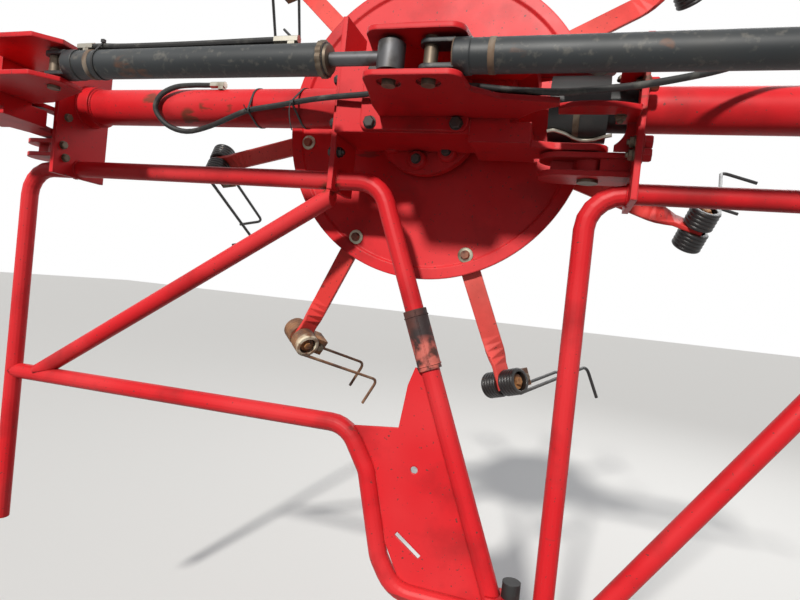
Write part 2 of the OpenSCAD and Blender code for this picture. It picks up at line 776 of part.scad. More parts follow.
// A barrel with its base fork, base collar and gland ring.
fork_z = 18;
fork_t = 8;
fork_r = 20;
collar_start = 44;
collar_len = 28;
gland_len = 14;
module barrel(pin_x) {
    color(black) translate([pin_x, -cylinder_y, 0]) difference() {
        union() {
            rotate([0, 90, 0]) {
                translate([0, 0, collar_start]) cylinder(r = barrel_od / 2 + 2, h = collar_len);
                translate([0, 0, collar_start]) cylinder(r = barrel_od / 2, h = barrel_len - collar_start);
                translate([0, 0, barrel_len - gland_len]) cylinder(r = barrel_od / 2 + 1, h = gland_len);
            }
            for (z = [fork_z, -fork_z - fork_t]) translate([0, 0, z]) {
                cylinder(r = fork_r, h = fork_t);
                translate([0, -fork_r, 0]) cube([collar_start + 1, 2 * fork_r, fork_t]);
            }
        }
        translate([0, 0, -30]) cylinder(r = pin_d / 2 + running, h = 60);
        translate([50, 0, 0]) rotate([0, 90, 0]) cylinder(r = rod_d / 2 + running, h = barrel_len);
    }
}

module rod_bar(len) {
    translate([-len, 0, 0]) rotate([0, 90, 0]) cylinder(r = rod_d / 2, h = len - eye_d / 2 + 4);
}

// The extended rod still reaches this far into its barrel.
rod_overlap = 43;
right_rod_len = next_rod_pin_x - rotor_x - barrel_pin_x - barrel_len + rod_overlap;

module barrel_left() { barrel(lug_pin_x); }
module barrel_right() { barrel(rotor_x + barrel_pin_x); }

// The rod's pin moves with its eye, between the bracket's plates.
module rod_left() {
    color(zinc) translate([rotor_x + rod_pin_x, -cylinder_y, 0]) {
        rod_bar(rod_len);
        translate([0, 0, -25]) cylinder(r = eye_d / 2, h = 50);
        translate([0, 0, -bracket_z + 1]) cylinder(r = pin_d / 2, h = bracket_gap - 2);
    }
}

module rod_right() {
    color(zinc) translate([next_rod_pin_x, -cylinder_y, 0]) difference() {
        union() {
            rod_bar(right_rod_len);
            translate([0, 0, -25]) cylinder(r = eye_d / 2, h = 50);
        }
        translate([0, 0, -30]) cylinder(r = pin_d / 2 + running, h = 60);
    }
}

// Hoses: each row is [x, y, z] from the rotor's axis and the beam's axis.
barrel_hose_z = barrel_od / 2 + 2 + hose_d / 2 + 1;
barrel_hose_start = lug_pin_x - rotor_x + 102;
barrel_hose_end = barrel_hose_start + 430;
barrel_hose_route = [
    [barrel_hose_start, -cylinder_y, barrel_hose_z], [barrel_hose_start + 30, -cylinder_y, barrel_hose_z],
    [-560, -cylinder_y, barrel_hose_z - 2], [-400, -cylinder_y, barrel_hose_z - 2],
    [barrel_hose_end - 30, -cylinder_y, barrel_hose_z], [barrel_hose_end, -cylinder_y, barrel_hose_z]
];
module barrel_hose() {
    color(black) translate([rotor_x, 0, 0]) hose(barrel_hose_route);
}

module barrel_hose_fittings() {
    port_h = barrel_hose_z - barrel_od / 2 + 1;
    color(zinc) difference() {
        translate([rotor_x, -cylinder_y, barrel_hose_z]) {
            hose_end([barrel_hose_start - 40, 0, 0], 40, 16, port_h);
            hose_end([barrel_hose_end, 0, 0], 50, 30, port_h);
        }
        barrel_left();
    }
}

beam_hose_route = [
    [-40, -100, 0], [-64, -100, 0], [-100, -98, -3], [-160, -90, -4], [-233, -74, -5], [-320, -56, -11],
    [-400, -49, -20], [-450, -43, -34], [-520, -30, -54], [-585, -30, -68], [-635, -42, -56],
    [-664, -54, -22], [-652, -56, 12], [-618, -47, 36], [-580, -30, 47], [-548, -27, 48], [-528, -27, 48]
];
beam_hose_last = beam_hose_route[len(beam_hose_route) - 1];
module beam_hose() {
    color(black) translate([rotor_x, 0, 0]) hose(beam_hose_route);
}

module beam_hose_fittings() {
    color(zinc) difference() {
        translate([rotor_x, 0, 0]) {
            translate(beam_hose_route[0]) {
                rotate([0, 90, 0]) cylinder(r = fitting_d / 2, h = 34, $fn = 6);
                translate([20, 0, -7]) cube([14, 25, 14]);
            }
            hose_end(beam_hose_last, 40, 24, 12);
        }
        beam_left();
    }
}

beam_right();
hinge_flange();
end_flange();
right_guard_post();
right_guard_top();
right_guard_diagonal();
gearbox_housing();
bearing_casting();
hinge_box();
hinge_pins();
shaft_guard();
guard_clip();
cylinder_bracket();
bracket_pin_heads();
inner_flange();
beam_left();
far_flange();
guard_top();
guard_diagonal();
guard_outer();
guard_inner();
guard_sleeve();
gusset_panel();
buffer_bracket();
rubber_buffer();
left_post();
wheel_leg();
wheel_axle();
tyre();
wheel_rim();
rotor_hub();
rotor_disc();
for (i = [1:7]) arm(i);
for (i = [1:7]) tine(i);
tine_clamps();
hinge_lugs();
lug_pin();
knuckle_box();
knuckle_pins();
barrel_left();
rod_left();
barrel_right();
rod_right();
barrel_hose();
barrel_hose_fittings();
beam_hose();
beam_hose_fittings();
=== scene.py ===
import json
import math
import bmesh
import bpy
from mathutils import Matrix, Vector


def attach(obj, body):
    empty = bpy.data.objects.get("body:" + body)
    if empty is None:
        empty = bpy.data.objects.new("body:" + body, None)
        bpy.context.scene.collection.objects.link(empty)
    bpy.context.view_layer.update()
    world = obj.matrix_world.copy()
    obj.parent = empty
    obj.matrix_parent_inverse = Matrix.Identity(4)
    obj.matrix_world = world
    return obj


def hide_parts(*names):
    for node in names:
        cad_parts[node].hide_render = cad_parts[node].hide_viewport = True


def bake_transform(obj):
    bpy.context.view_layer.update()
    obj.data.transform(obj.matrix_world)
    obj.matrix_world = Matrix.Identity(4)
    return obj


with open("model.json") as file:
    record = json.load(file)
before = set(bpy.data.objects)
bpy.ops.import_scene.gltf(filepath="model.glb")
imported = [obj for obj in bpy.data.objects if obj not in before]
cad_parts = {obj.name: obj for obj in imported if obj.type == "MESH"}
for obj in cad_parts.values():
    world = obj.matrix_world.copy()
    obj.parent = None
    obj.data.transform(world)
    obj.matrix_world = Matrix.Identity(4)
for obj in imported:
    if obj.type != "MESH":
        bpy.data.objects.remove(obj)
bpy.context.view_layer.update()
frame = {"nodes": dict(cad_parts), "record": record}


def add_object(name, data):
    obj = bpy.data.objects.new(name, data)
    bpy.context.scene.collection.objects.link(obj)
    return obj


# Camera: where the photograph was taken from, in metres; angles in degrees, focal length in pixels
EYE = Vector((-0.865, -1.188, -0.408))
YAW, PITCH, ROLL = math.radians(-16.6), math.radians(-0.97), math.radians(5.91)
FOCAL_PX, FRAME_PX = 550.5, 800.0
SENSOR_MM, CLIP_START = 36, 0.02

ahead = Vector((math.sin(YAW) * math.cos(PITCH), math.cos(YAW) * math.cos(PITCH), math.sin(PITCH)))
level = Vector((math.cos(YAW), -math.sin(YAW), 0))
upright = level.cross(ahead)
right = math.cos(ROLL) * level + math.sin(ROLL) * upright
up = -math.sin(ROLL) * level + math.cos(ROLL) * upright
cam_data = bpy.data.cameras.new("camera")
cam_data.sensor_width = SENSOR_MM
cam_data.lens = SENSOR_MM * FOCAL_PX / FRAME_PX
cam_data.clip_start = CLIP_START
camera = add_object("camera", cam_data)
camera.matrix_world = Matrix.Translation(EYE) @ Matrix((right, up, -ahead)).transposed().to_4x4()
bpy.context.scene.camera = camera

# Materials: sockets of the mix node for colours, rays of the bevel and occlusion nodes, the limits that turn
# what those give into masks, how a seed shifts a noise, the core of a spot, and depths and reaches in metres
MIX_FACTOR, MIX_FIRST, MIX_SECOND, MIX_RESULT = 0, 6, 7, 2
NODE_RAYS = 4
EDGE_LIMITS, CORNER_LIMITS = (0.965, 0.84), (0.62, 0.2)
SEED_SHIFT = (1, 0.7, 0.3)
SPOT_CORE = 0.7
BUMP_DEPTH = 0.002
EDGE_REACH, CORNER_REACH, PAINT_ROUNDING = 0.0022, 0.03, 0.005


class Nodes:
    """Adds and joins the shader nodes of one material."""

    def __init__(self, name):
        self.mat = bpy.data.materials.new(name)
        self.mat.use_nodes = True
        self.tree = self.mat.node_tree
        self.bsdf = self.tree.nodes["Principled BSDF"]
        self.place = self.add("ShaderNodeTexCoord").outputs["Object"]

    def add(self, kind, **settings):
        node = self.tree.nodes.new(kind)
        for key, value in settings.items():
            setattr(node, key, value)
        return node

    def put(self, value, socket):
        """Links a socket, or sets a colour or a number."""
        if isinstance(value, bpy.types.NodeSocket):
            self.tree.links.new(value, socket)
        elif isinstance(value, tuple):
            socket.default_value = (*value, 1)
        else:
            socket.default_value = value

    def noise(self, scale, detail, stretch=(1, 1, 1), seed=0):
        mapping = self.add("ShaderNodeMapping")
        mapping.inputs["Scale"].default_value = stretch
        mapping.inputs["Location"].default_value = [seed * shift for shift in SEED_SHIFT]
        node = self.add("ShaderNodeTexNoise")
        node.inputs["Scale"].default_value = scale
        node.inputs["Detail"].default_value = detail
        self.put(self.place, mapping.inputs["Vector"])
        self.put(mapping.outputs["Vector"], node.inputs["Vector"])
        return node.outputs["Fac"]

    def ramp(self, fac, low, high, strength=1.0):
        """0 at the low limit, the strength at the high one."""
        node = self.add("ShaderNodeMapRange", clamp=True)
        node.inputs["From Min"].default_value = low
        node.inputs["From Max"].default_value = high
        node.inputs["To Max"].default_value = strength
        self.put(fac, node.inputs["Value"])
        return node.outputs["Result"]

    def patches(self, scale, detail, limits, strength=1.0, stretch=(1, 1, 1), seed=0):
        """A noise cut to patches between two limits."""
        return self.ramp(self.noise(scale, detail, stretch, seed), *limits, strength)

    def both(self, first, second):
        """The product of two masks."""
        node = self.add("ShaderNodeMath", operation="MULTIPLY", use_clamp=True)
        self.put(first, node.inputs[0])
        self.put(second, node.inputs[1])
        return node.outputs[0]

    def mix(self, fac, first, second):
        node = self.add("ShaderNodeMix", data_type="RGBA")
        self.put(fac, node.inputs[MIX_FACTOR])
        self.put(first, node.inputs[MIX_FIRST])
        self.put(second, node.inputs[MIX_SECOND])
        return node.outputs[MIX_RESULT]

    def bevelled(self, radius):
        """The normal as if edges were rounded by a radius."""
        node = self.add("ShaderNodeBevel", samples=NODE_RAYS)
        node.inputs["Radius"].default_value = radius
        return node.outputs["Normal"]

    def edges(self, radius):
        """1 on sharp edges, 0 on flat faces."""
        normal = self.bevelled(radius)
        dot = self.add("ShaderNodeVectorMath", operation="DOT_PRODUCT")
        self.put(normal, dot.inputs[0])
        self.put(self.add("ShaderNodeNewGeometry").outputs["Normal"], dot.inputs[1])
        return self.ramp(dot.outputs["Value"], *EDGE_LIMITS)

    def shade_in_corners(self, distance):
        """1 deep in corners, 0 in the open: the mask of the painted shade in corners."""
        node = self.add("ShaderNodeAmbientOcclusion", samples=NODE_RAYS)
        node.inputs["Distance"].default_value = distance
        return self.ramp(node.outputs["AO"], *CORNER_LIMITS)

    def near(self, spot, reach):
        """1 close to a place, 0 at the reach and beyond; both in metres."""
        node = self.add("ShaderNodeVectorMath", operation="DISTANCE")
        self.put(self.place, node.inputs[0])
        node.inputs[1].default_value = spot
        return self.ramp(node.outputs["Value"], reach, SPOT_CORE * reach)

    def rough(self, fac, low, high):
        node = self.add("ShaderNodeMapRange")
        node.inputs["To Min"].default_value = low
        node.inputs["To Max"].default_value = high
        self.put(fac, node.inputs["Value"])
        self.put(node.outputs["Result"], self.bsdf.inputs["Roughness"])

    def bump(self, fac, strength, rounding=None):
        """Fine relief; with rounding, sharp edges and facets also look rounded by that radius."""
        node = self.add("ShaderNodeBump")
        if rounding:
            self.put(self.bevelled(rounding), node.inputs["Normal"])
        node.inputs["Strength"].default_value = strength
        node.inputs["Distance"].default_value = BUMP_DEPTH
        self.put(fac, node.inputs["Height"])
        self.put(node.outputs["Normal"], self.bsdf.inputs["Normal"])

    def colour(self, value):
        self.put(value, self.bsdf.inputs["Base Color"])


SPOT_RUST = (0.11, 0.045, 0.022)


def paint(name, base, faded, dirt_and_shade, wear, rough=(0.28, 0.46), chip=(0.12, 0.04, 0.035), chips=(0.67, 0.7),
          chip_scale=150.0, spots=(), gloss=0.5):
    """Weathered paint: faded patches, dirt, painted shade darkening the corners, chips, scratches along the beam,
    worn edges, and rust at some spots.
    """
    n = Nodes(name)
    tone = n.mix(n.patches(scale=2.6, detail=3, limits=(0.42, 0.68)), base, faded)
    tone = n.mix(n.patches(scale=9.0, detail=8, limits=(0.52, 0.78), strength=0.55, seed=3), tone, dirt_and_shade)
    # Painted shade: an occlusion mask, broken up by noise, darkens corners and crevices towards the dark dirt tone
    corners = n.both(n.shade_in_corners(CORNER_REACH), n.patches(scale=20.0, detail=5, limits=(0.2, 0.6), seed=6))
    tone = n.mix(corners, tone, dirt_and_shade)
    tone = n.mix(n.patches(scale=chip_scale, detail=6, limits=chips, seed=5), tone, chip)
    scratches = n.patches(scale=34.0, detail=7, limits=(0.7, 0.73), strength=0.6, stretch=(0.14, 1, 1), seed=12)
    tone = n.mix(scratches, tone, chip)
    worn = n.both(n.edges(EDGE_REACH),
                  n.patches(scale=26.0, detail=6, limits=(0.42, 0.6), strength=0.85, seed=8))
    tone = n.mix(worn, tone, wear)
    for place, reach in spots:
        rust = n.both(n.near(place, reach),
                      n.patches(scale=60.0, detail=8, limits=(0.5, 0.6), strength=0.8, stretch=(0.3, 1, 1), seed=15))
        tone = n.mix(rust, tone, SPOT_RUST)
    n.colour(tone)
    n.bsdf.inputs["Specular IOR Level"].default_value = gloss
    n.rough(n.noise(scale=12.0, detail=6, seed=2), *rough)
    n.bump(n.noise(scale=70.0, detail=3, seed=9), strength=0.05, rounding=PAINT_ROUNDING)
    return n.mat


def metal(name, base, stain, rough=(0.3, 0.55), stains=(0.5, 0.72), metallic=1.0, scale=25.0, rounding=None):
    """Bare metal, or rubber and plastic where it isn't metallic, with stains of a second colour."""
    n = Nodes(name)
    n.colour(n.mix(n.patches(scale=scale, detail=8, limits=stains, seed=1), base, stain))
    n.bsdf.inputs["Metallic"].default_value = metallic
    n.rough(n.noise(scale=30.0, detail=6, seed=2), *rough)
    n.bump(n.noise(scale=90.0, detail=5, seed=4), strength=0.06, rounding=rounding)
    return n.mat


def rusty_coat(name, dark, rust, coat, coats, worn=None):
    """Rust over dark scale with some paint or bare metal left; worn is a spot's place, reach and tone."""
    n = Nodes(name)
    tone = n.mix(n.patches(scale=24.0, detail=8, limits=(0.42, 0.62), seed=1), dark, rust)
    tone = n.mix(n.patches(scale=15.0, detail=7, limits=coats, seed=7), tone, coat)
    if worn:
        place, reach, mark = worn
        spot = n.both(n.near(place, reach), n.patches(scale=40.0, detail=5, limits=(0.38, 0.55), seed=3))
        tone = n.mix(spot, tone, mark)
    n.colour(tone)
    n.rough(n.noise(scale=30.0, detail=6, seed=2), 0.55, 0.85)
    n.bump(n.noise(scale=110.0, detail=6, seed=4), strength=0.25)
    return n.mat


# Spots on the barrels and on the frame: place and reach in metres
BARREL_SPOTS = [
    ((-1.763, -0.285, -0.018), 0.028), ((-1.717, -0.281, -0.022), 0.02), ((-0.978, -0.294, -0.004), 0.016),
    ((-0.76, -0.294, -0.003), 0.013),
]
FRAME_SPOTS = [
    ((-0.764, -0.1, 0.045), 0.05), ((-0.764, -0.1, 0.0), 0.045), ((-1.914, -0.045, 0.005), 0.026),
    ((-1.75, -0.044, -0.009), 0.02), ((-1.694, -0.043, -0.011), 0.02), ((-1.802, -0.029, -0.034), 0.028),
    ((-1.4, -0.02, -0.185), 0.035),
]
# Worn spots at the foot of the tube's sleeve and on the old tine's coils: place, reach and tone
SLEEVE_WORN = ((-1.13, -0.045, -0.568), 0.075, (0.55, 0.13, 0.1))
COIL_WORN = ((-1.51, 0.165, -0.585), 0.04, (0.8, 0.74, 0.56))

RED = paint("red_paint", base=(0.64, 0.016, 0.022), faded=(0.7, 0.045, 0.05), dirt_and_shade=(0.16, 0.012, 0.012),
            wear=(0.78, 0.22, 0.2), rough=(0.36, 0.52), spots=FRAME_SPOTS, gloss=0.2)
ARM = paint("arm_paint", base=(0.74, 0.05, 0.045), faded=(0.8, 0.13, 0.11), dirt_and_shade=(0.3, 0.04, 0.03),
            wear=(0.78, 0.3, 0.26), rough=(0.4, 0.55), gloss=0.25)
BLACK = paint("black_paint", base=(0.01, 0.013, 0.015), faded=(0.026, 0.031, 0.034), dirt_and_shade=(0.03, 0.027, 0.022),
              wear=(0.16, 0.14, 0.12), rough=(0.42, 0.6), chip=(0.085, 0.082, 0.073), chips=(0.56, 0.72),
              chip_scale=70.0, spots=BARREL_SPOTS)
BRIGHT = metal("bright_steel", base=(0.36, 0.34, 0.29), stain=(0.16, 0.12, 0.08))
ROD = metal("rod_steel", base=(0.1, 0.1, 0.105), stain=(0.04, 0.035, 0.03), rough=(0.4, 0.6), metallic=0.8)
DULL = metal("dull_steel", base=(0.14, 0.11, 0.08), stain=(0.06, 0.035, 0.02), rough=(0.4, 0.65), metallic=0.7)
DARK = metal("dark_steel", base=(0.035, 0.03, 0.028), stain=(0.05, 0.028, 0.02), rough=(0.4, 0.6), metallic=0.5)
ZINC = metal("dull_zinc", base=(0.36, 0.35, 0.27), stain=(0.14, 0.1, 0.06), rough=(0.4, 0.6), stains=(0.5, 0.7),
             metallic=0.6)
HEADS = rusty_coat("rusty_heads", dark=(0.1, 0.03, 0.02), rust=(0.3, 0.12, 0.07), coat=(0.4, 0.22, 0.14),
                   coats=(0.56, 0.68))
BAND = rusty_coat("worn_band", dark=(0.07, 0.05, 0.038), rust=(0.17, 0.11, 0.07), coat=(0.27, 0.23, 0.18),
                  coats=(0.46, 0.6))
RUSTY = rusty_coat("rusty_steel", dark=(0.09, 0.04, 0.022), rust=(0.36, 0.16, 0.05), coat=(0.5, 0.24, 0.09),
                   coats=(0.56, 0.68))
SLEEVE = rusty_coat("sleeve_rust", dark=(0.018, 0.008, 0.008), rust=(0.075, 0.022, 0.016), coat=(0.2, 0.03, 0.025),
                    coats=(0.56, 0.62), worn=SLEEVE_WORN)
OLD_TINE = rusty_coat("old_tine", dark=(0.11, 0.055, 0.035), rust=(0.28, 0.14, 0.07), coat=(0.4, 0.28, 0.18),
                      coats=(0.56, 0.7), worn=COIL_WORN)
TINE = paint("tine_steel", base=(0.006, 0.006, 0.007), faded=(0.01, 0.01, 0.01), dirt_and_shade=(0.03, 0.018, 0.012),
             wear=(0.09, 0.075, 0.07), rough=(0.26, 0.4), chip=(0.12, 0.06, 0.03), chips=(0.68, 0.72))
PLASTIC = metal("black_plastic", base=(0.009, 0.009, 0.009), stain=(0.028, 0.026, 0.024), rough=(0.45, 0.65),
                stains=(0.55, 0.85), metallic=0.0)
RUBBER = metal("rubber", base=(0.009, 0.009, 0.009), stain=(0.13, 0.125, 0.11), rough=(0.5, 0.75),
               stains=(0.54, 0.72), metallic=0.0, scale=20.0, rounding=0.003)
TYRE = metal("tyre_rubber", base=(0.02, 0.02, 0.02), stain=(0.09, 0.08, 0.065), rough=(0.7, 0.9),
             stains=(0.5, 0.8), metallic=0.0, scale=9.0)
RIM = paint("rim_paint", base=(0.5, 0.5, 0.49), faded=(0.42, 0.42, 0.41), dirt_and_shade=(0.14, 0.1, 0.07),
            wear=(0.3, 0.2, 0.12))

ARM_COUNT = 7
BY_SLOT = {
    "red_paint": RED, "black_paint": BLACK, "bright_steel": BRIGHT, "rusty_steel": RUSTY, "tine_steel": TINE,
    "black_plastic": PLASTIC, "rubber": RUBBER, "tyre": TYRE, "rim_paint": RIM,
}
BY_NODE = {
    **{f"arm_{k}": ARM for k in range(1, ARM_COUNT + 1)},
    "tine_7": OLD_TINE, "guard_sleeve": SLEEVE, "rod_left": ROD, "rod_right": ROD, "hinge_pins": DULL,
    "knuckle_pins": DULL, "bracket_pin_heads": DULL, "lug_pin": DULL, "guard_clip": DULL,
}


def dress(obj, material):
    obj.data.materials.clear()
    obj.data.materials.append(material)


slot_of = {part["node"]: part["material_slot"] for part in frame["record"]["subparts"]}
for node, obj in frame["nodes"].items():
    dress(obj, BY_NODE.get(node, BY_SLOT[slot_of[node]]))

# Small pieces: their places are millimetres from the rotor's axis and the beam's axis, as in the part's source
MM = 0.001
ROTOR_X = -1222
X, Y, Z = Vector((1, 0, 0)), Vector((0, 1, 0)), Vector((0, 0, 1))

# Widths of bolt heads across flats, and the shares of that width in a head, a nut, its thread and its washer
M10, M12, M14, M16 = 17, 19, 22, 24
HEX = 6
HEAD_HEIGHT, HEAD_SHOULDER, HEAD_TOP = 0.4, 0.8, 0.86
NUT_TOP, NUT_CHAMFER, CHAMFER_HEIGHT = 0.55, 0.9, 1
THREAD_R, THREAD_TIP_R, THREAD_PAST = 0.3, 0.24, 4
WASHER_T, WASHER_R = 0.13, 0.64

# Weld beads: rings to a ripple, and the share of the bead at its low ring
RIPPLE_RINGS, RIPPLE_LOW = 3, 0.72

# Cable ties
TIE_WIDTH, TIE_T, TIE_GAP, TIE_STEPS = 5.0, 1.4, 0.4, 64
TIE_HEAD_R, TIE_HEAD_LENGTH, TIE_TAIL_R = 4.5, 8, 1.7

PLATE_CHAMFER, CORNER_STEPS = 2.0, 4


def turns(count):
    """The angles of a full turn in equal steps."""
    return [2 * math.pi * k / count for k in range(count)]


def sides_of(axis):
    """Two directions square to an axis."""
    u = axis.cross(Z if abs(axis.z) < 0.9 else X).normalized()
    return u, axis.cross(u).normalized()


def circle(centre, sides, r, count, turn=0.0):
    """Points round a centre, in the plane of two directions."""
    u, v = sides
    return [centre + r * (math.cos(turn + a) * u + math.sin(turn + a) * v) for a in turns(count)]


def about_x(x, y, r, angle):
    """A place at a radius and an angle round an axis along X."""
    return x, y + r * math.cos(angle), r * math.sin(angle)


def about_y(y, r, angle):
    """A place at a radius and an angle round the rotor's axis."""
    return Vector((r * math.cos(angle), y, r * math.sin(angle)))


def ripple(bead, k):
    return bead * (1.0 if k % RIPPLE_RINGS else RIPPLE_LOW)


class Shape:
    """The points and faces of one mesh."""

    def __init__(self):
        self.points, self.faces = [], []

    def skin(self, rings, closed=False):
        """Joins rings of points by faces; the ends are capped, or meet when it is closed."""
        start, count, last = len(self.points), len(rings[0]), len(rings)
        for ring in rings:
            self.points.extend(Vector(p) for p in ring)
        for k in range(last if closed else last - 1):
            here, beyond = start + k * count, start + (k + 1) % last * count
            for j in range(count):
                nxt = (j + 1) % count
                self.faces.append((here + j, here + nxt, beyond + nxt, beyond + j))
        if not closed:
            self.faces.append(tuple(start + j for j in reversed(range(count))))
            self.faces.append(tuple(start + (last - 1) * count + j for j in range(count)))

    def lathe(self, place, axis, profile, count=20, turn=0.0, hollow=False):
        """Rings along an axis; each row of the profile is distance along it and radius. A hollow one is a sleeve."""
        place, sides = Vector(place), sides_of(axis)
        self.skin([circle(place + h * axis, sides, r, count, turn) for h, r in profile], closed=hollow)

    def bolt(self, place, axis, width=M12, turn=0.3, height=HEAD_HEIGHT, washer_r=WASHER_R):
        """A hexagon head on a washer; its height and the washer's radius are shares of its width."""
        washer, head, r = WASHER_T * width, height * width, width / math.sqrt(3)
        self.lathe(place, axis, [(0, washer_r * width), (washer, washer_r * width)])
        self.lathe(place, axis, [(washer, r), (washer + HEAD_SHOULDER * head, r), (washer + head, HEAD_TOP * r)],
                   HEX, turn)

    def nut(self, place, axis, width=M12, turn=0.9):
        """A washer, a nut and the end of its bolt."""
        washer, top, r = WASHER_T * width, NUT_TOP * width, width / math.sqrt(3)
        tip = top + THREAD_PAST
        self.lathe(place, axis, [(0, WASHER_R * width), (washer, WASHER_R * width)])
        self.lathe(place, axis, [(washer, NUT_CHAMFER * r), (washer + CHAMFER_HEIGHT, r),
                                 (top - CHAMFER_HEIGHT, r), (top, NUT_CHAMFER * r)], HEX, turn)
        self.lathe(place, axis, [(washer, THREAD_R * width), (tip, THREAD_R * width),
                                 (tip + CHAMFER_HEIGHT, THREAD_TIP_R * width)], 12)

    def weld(self, centre, axis, r, bead=4.0, pitch=5.0):
        """A rippled bead round a tube."""
        centre, (u, v) = Vector(centre), sides_of(axis)
        rings = []
        for k, turn in enumerate(turns(RIPPLE_RINGS * round(2 * math.pi * r / pitch))):
            out = math.cos(turn) * u + math.sin(turn) * v
            size = ripple(bead, k)
            rings.append([centre + (r + size * math.cos(a)) * out + size * math.sin(a) * axis for a in turns(HEX)])
        self.skin(rings, closed=True)

    def seam(self, start, end, bead=4.0, pitch=5.0):
        """A rippled bead along a straight edge."""
        start, end = Vector(start), Vector(end)
        sides, count = sides_of((end - start).normalized()), RIPPLE_RINGS * round((end - start).length / pitch)
        self.skin([circle(start.lerp(end, k / count), sides, ripple(bead, k), HEX) for k in range(count + 1)])

    def tube(self, path, r, count=12):
        """A tube along a path, with no twist."""
        last = len(path) - 1
        axes = [(path[min(k + 1, last)] - path[max(k - 1, 0)]).normalized() for k in range(last + 1)]
        u = sides_of(axes[0])[0]
        rings = []
        for place, axis in zip(path, axes):
            u = (u - u.dot(axis) * axis).normalized()
            rings.append(circle(place, (u, axis.cross(u)), r, count))
        self.skin(rings)

    def band(self, x, discs):
        """A flat tie pulled tight round discs in a plane across X; each disc is y, z, radius."""
        rings, side = [], TIE_WIDTH / 2 * X
        for a in turns(TIE_STEPS):
            n = Vector((0, math.cos(a), math.sin(a)))
            y, z, r = max(discs, key=lambda d: d[0] * n.y + d[1] * n.z + d[2])
            p = Vector((x, y, z)) + (r + TIE_GAP) * n
            rings.append([p - side, p + side, p + side + TIE_T * n, p - side + TIE_T * n])
        self.skin(rings, closed=True)

    def tie_head(self, middle):
        """The square head of a cable tie."""
        self.lathe(middle - TIE_HEAD_LENGTH / 2 * X, X, [(0, TIE_HEAD_R), (TIE_HEAD_LENGTH, TIE_HEAD_R)],
                   4, math.pi / 4)

    def prism(self, outline, y, depth):
        """An outline in the XZ plane that stands out from y towards -Y, with its front edge chamfered."""
        middle = sum((Vector(p) for p in outline), Vector((0, 0))) / len(outline)
        rings = []
        for step, inset in ((0, 0), (depth - PLATE_CHAMFER, 0), (depth, PLATE_CHAMFER)):
            ring = []
            for p in outline:
                p = Vector(p)
                p = p - inset * (p - middle).normalized()
                ring.append(Vector((p.x, y - step, p.y)))
            rings.append(ring)
        self.skin(rings)

    def join(self, other, place):
        start = len(self.points)
        self.points.extend(place @ p for p in other.points)
        self.faces.extend(tuple(start + k for k in face) for face in other.faces)


def smooth_path(points, steps=8):
    """A Catmull-Rom curve through points."""
    points = [Vector(p) for p in points]
    last, path = len(points) - 1, []
    for i in range(last):
        a, b, c, d = points[max(i - 1, 0)], points[i], points[i + 1], points[min(i + 2, last)]
        for k in range(steps):
            t = k / steps
            path.append(0.5 * (2 * b + (c - a) * t + (2 * a - 5 * b + 4 * c - d) * t * t
                               + (3 * b - a - 3 * c + d) * t ** 3))
    return path + [points[last]]


def rounded(x0, z0, x1, z1, r):
    """A rectangle's outline with rounded corners."""
    corners = ((x1 - r, z1 - r, 0), (x0 + r, z1 - r, 90), (x0 + r, z0 + r, 180), (x1 - r, z0 + r, 270))
    outline = []
    for x, z, start in corners:
        for k in range(CORNER_STEPS + 1):
            a = math.radians(start + 90 * k / CORNER_STEPS)
            outline.append((x + r * math.cos(a), z + r * math.sin(a)))
    return outline


def piece(name, shape, slot, material=None, body=None, sharp=35):
    """Makes the mesh of a shape; it rides on a body when one is named. Edges over the sharp angle stay crisp."""
    mesh = bpy.data.meshes.new(name)
    mesh.from_pydata([((p.x + ROTOR_X) * MM, p.y * MM, p.z * MM) for p in shape.points], [], shape.faces)
    work = bmesh.new()
    work.from_mesh(mesh)
    bmesh.ops.recalc_face_normals(work, faces=work.faces)
    work.to_mesh(mesh)
    work.free()
    mesh.shade_smooth()
    mesh.set_sharp_from_angle(angle=math.radians(sharp))
    obj = add_object(name, mesh)
    dress(obj, material or BY_SLOT[slot])
    if body:
        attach(obj, body)
    return obj


# The part's own values that the small pieces go by: tubes, rotor, faces of the flanges, cylinders, wheel
BEAM_R, GUARD_R, GUARD_Y, GUARD_TOP_Z = 45, 21, -20, -172
DISC_Y, DISC_T, ARM_T = 122, 5, 10
ARM_START, ARM_END_R, ARM_FALL, COIL_LEAN = 291, 668, 70, 33
FLANGE_T, FAR_FACE, INNER_FACES, RIGHT_FACES, END_FACE = 12, -923, (-177, -165), (452, 464), 1210
CYLINDER_Y, BARREL_R, BARREL_LEN = -264, 29, 645
LUG_PIN_X, BARREL_PIN_X = -748, 92
AXLE_Y = 373
WELD_SHARP = 80

# Hose that crosses the near hinge, and the fittings at its ends
CROSS_HOSE = [
    (-2, -100, 0), (30, -100, 0), (66, -112, 0), (104, -134, -2), (150, -152, -8), (220, -165, -20),
    (310, -172, -27), (380, -167, -20), (443, -155, -9), (510, -141, 8), (571, -125, 28), (628, -110, 52),
    (681, -95, 73), (740, -76, 76), (800, -56, 68), (860, -38, 59), (915, -24, 55), (960, -20, 55),
]
HOSE_R, HOSE_SHARP = 6.5, 60
START_PLACE, START_FITTING = (-8, -100, 0), [(0, 8), (2, 10), (20, 10), (22, 8.5), (34, 8)]
STOP_PLACE, STOP_FITTING = (952, -20, 55), [(0, 8), (2, 9.8), (26, 9.8), (28, 8.5), (44, 8.5)]
PORT_PLACE, PORT = (988, -20, 34), [(0, 12), (24, 12), (27, 9)]
hose = Shape()
hose.tube(smooth_path(CROSS_HOSE), HOSE_R)
hose_piece = piece("hinge_hose", hose, "rubber", sharp=HOSE_SHARP)
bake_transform(hose_piece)
hose_start = Shape()
hose_start.lathe(START_PLACE, X, START_FITTING, HEX)
piece("hinge_hose_start", hose_start, "bright_steel", body="section")
